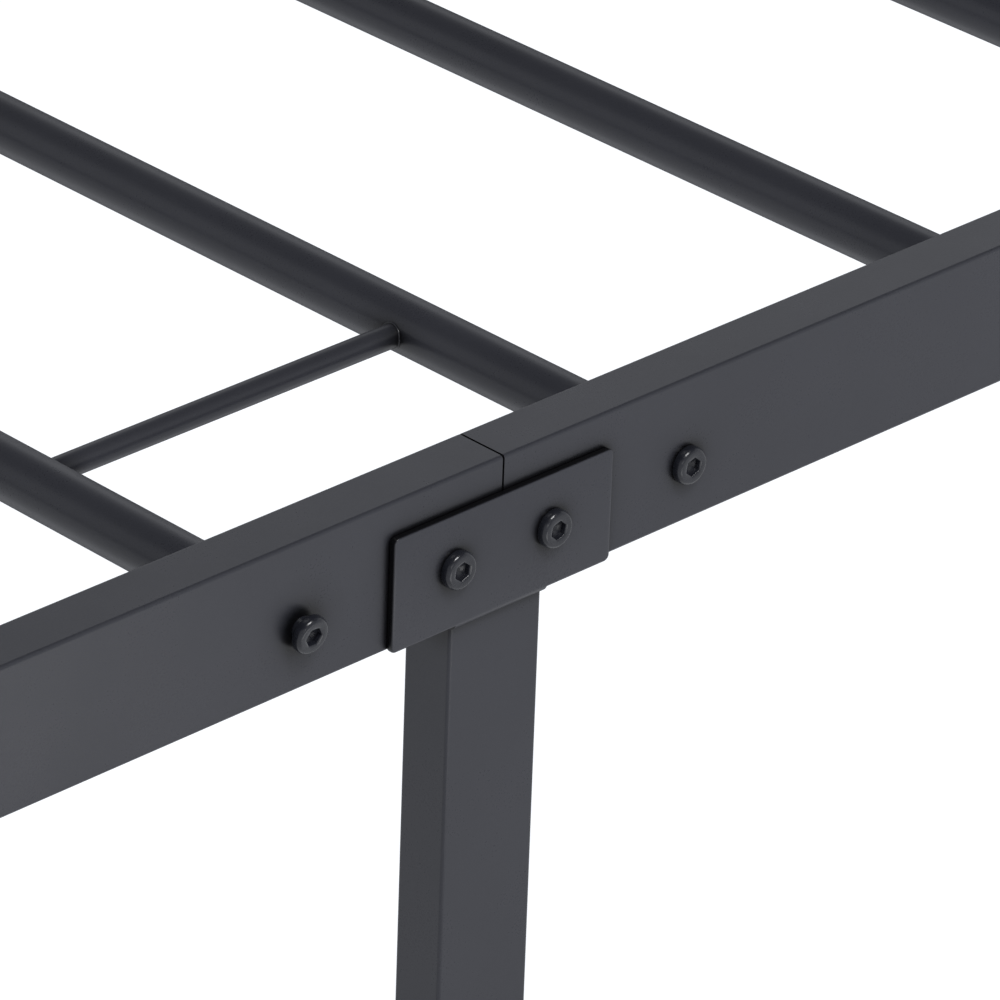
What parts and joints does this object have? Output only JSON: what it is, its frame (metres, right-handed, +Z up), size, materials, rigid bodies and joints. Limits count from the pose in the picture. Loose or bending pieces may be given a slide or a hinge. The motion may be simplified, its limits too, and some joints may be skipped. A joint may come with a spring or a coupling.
{
  "type": "metal bed frame",
  "caption": "Knock-down platform bed frame of powder-coated tube: split side rails bolted at plated legs, round cross slats bolted in from outside, centre beam on legs.",
  "frame": {"origin": "on the floor under the middle of the bed", "axes": "+X along the bed to the head end, +Y across the bed, +Z up; the side with -Y is called left"},
  "size_m": [2.0438, 1.5358, 0.3556],
  "materials": {
    "powder_coat": "satin charcoal powder coat",
    "bare_steel": "bare steel with a thin film of oil",
    "zinc_steel": "bright zinc plate",
    "black_screws": "gloss black",
    "saddle_plastic": "matt",
    "cap_plastic": "fine grain"
  },
  "bodies": {
    "root": {"side_rail_left_head": "powder_coat", "side_rail_left_foot": "powder_coat", "side_rail_right_head": "powder_coat", "side_rail_right_foot": "powder_coat", "head_rail": "powder_coat", "foot_rail": "powder_coat", "rail_splice_left": "bare_steel", "rail_splice_right": "bare_steel", "slat_01": "powder_coat", "slat_02": "powder_coat", "slat_03": "powder_coat", "slat_04": "powder_coat", "slat_05": "powder_coat", "slat_06": "powder_coat", "slat_07": "powder_coat", "slat_08": "powder_coat", "slat_09": "powder_coat", "slat_10": "powder_coat", "slat_11": "powder_coat", "slat_12": "powder_coat", "tie_rod_left": "powder_coat", "tie_rod_right": "powder_coat", "mid_leg_left": "powder_coat", "mid_leg_right": "powder_coat", "mid_leg_plate_left": "powder_coat", "mid_leg_plate_right": "powder_coat", "corner_leg_head_left": "powder_coat", "corner_leg_head_right": "powder_coat", "corner_leg_foot_left": "powder_coat", "corner_leg_foot_right": "powder_coat", "corner_plate_head_left": "powder_coat", "corner_plate_head_right": "powder_coat", "corner_plate_foot_left": "powder_coat", "corner_plate_foot_right": "powder_coat", "centre_beam_head": "powder_coat", "centre_beam_foot": "powder_coat", "beam_end_plate_head": "powder_coat", "beam_end_plate_foot": "powder_coat", "centre_leg_head": "powder_coat", "centre_leg_foot": "powder_coat", "centre_leg_plate_head": "powder_coat", "centre_leg_plate_foot": "powder_coat", "centre_leg_middle": "powder_coat", "centre_channel": "powder_coat", "slat_saddles": "saddle_plastic", "slat_inserts": "zinc_steel", "slat_bolts": "black_screws", "mid_plate_bolts": "black_screws", "corner_plate_bolts": "black_screws", "rail_nuts": "zinc_steel", "beam_end_bolts": "black_screws", "centre_leg_bolts": "black_screws", "beam_nuts": "zinc_steel", "channel_bolts": "black_screws", "corner_foot_caps": "cap_plastic", "leg_foot_caps": "cap_plastic", "rail_end_plugs": "cap_plastic"}
  },
  "joints": []
}
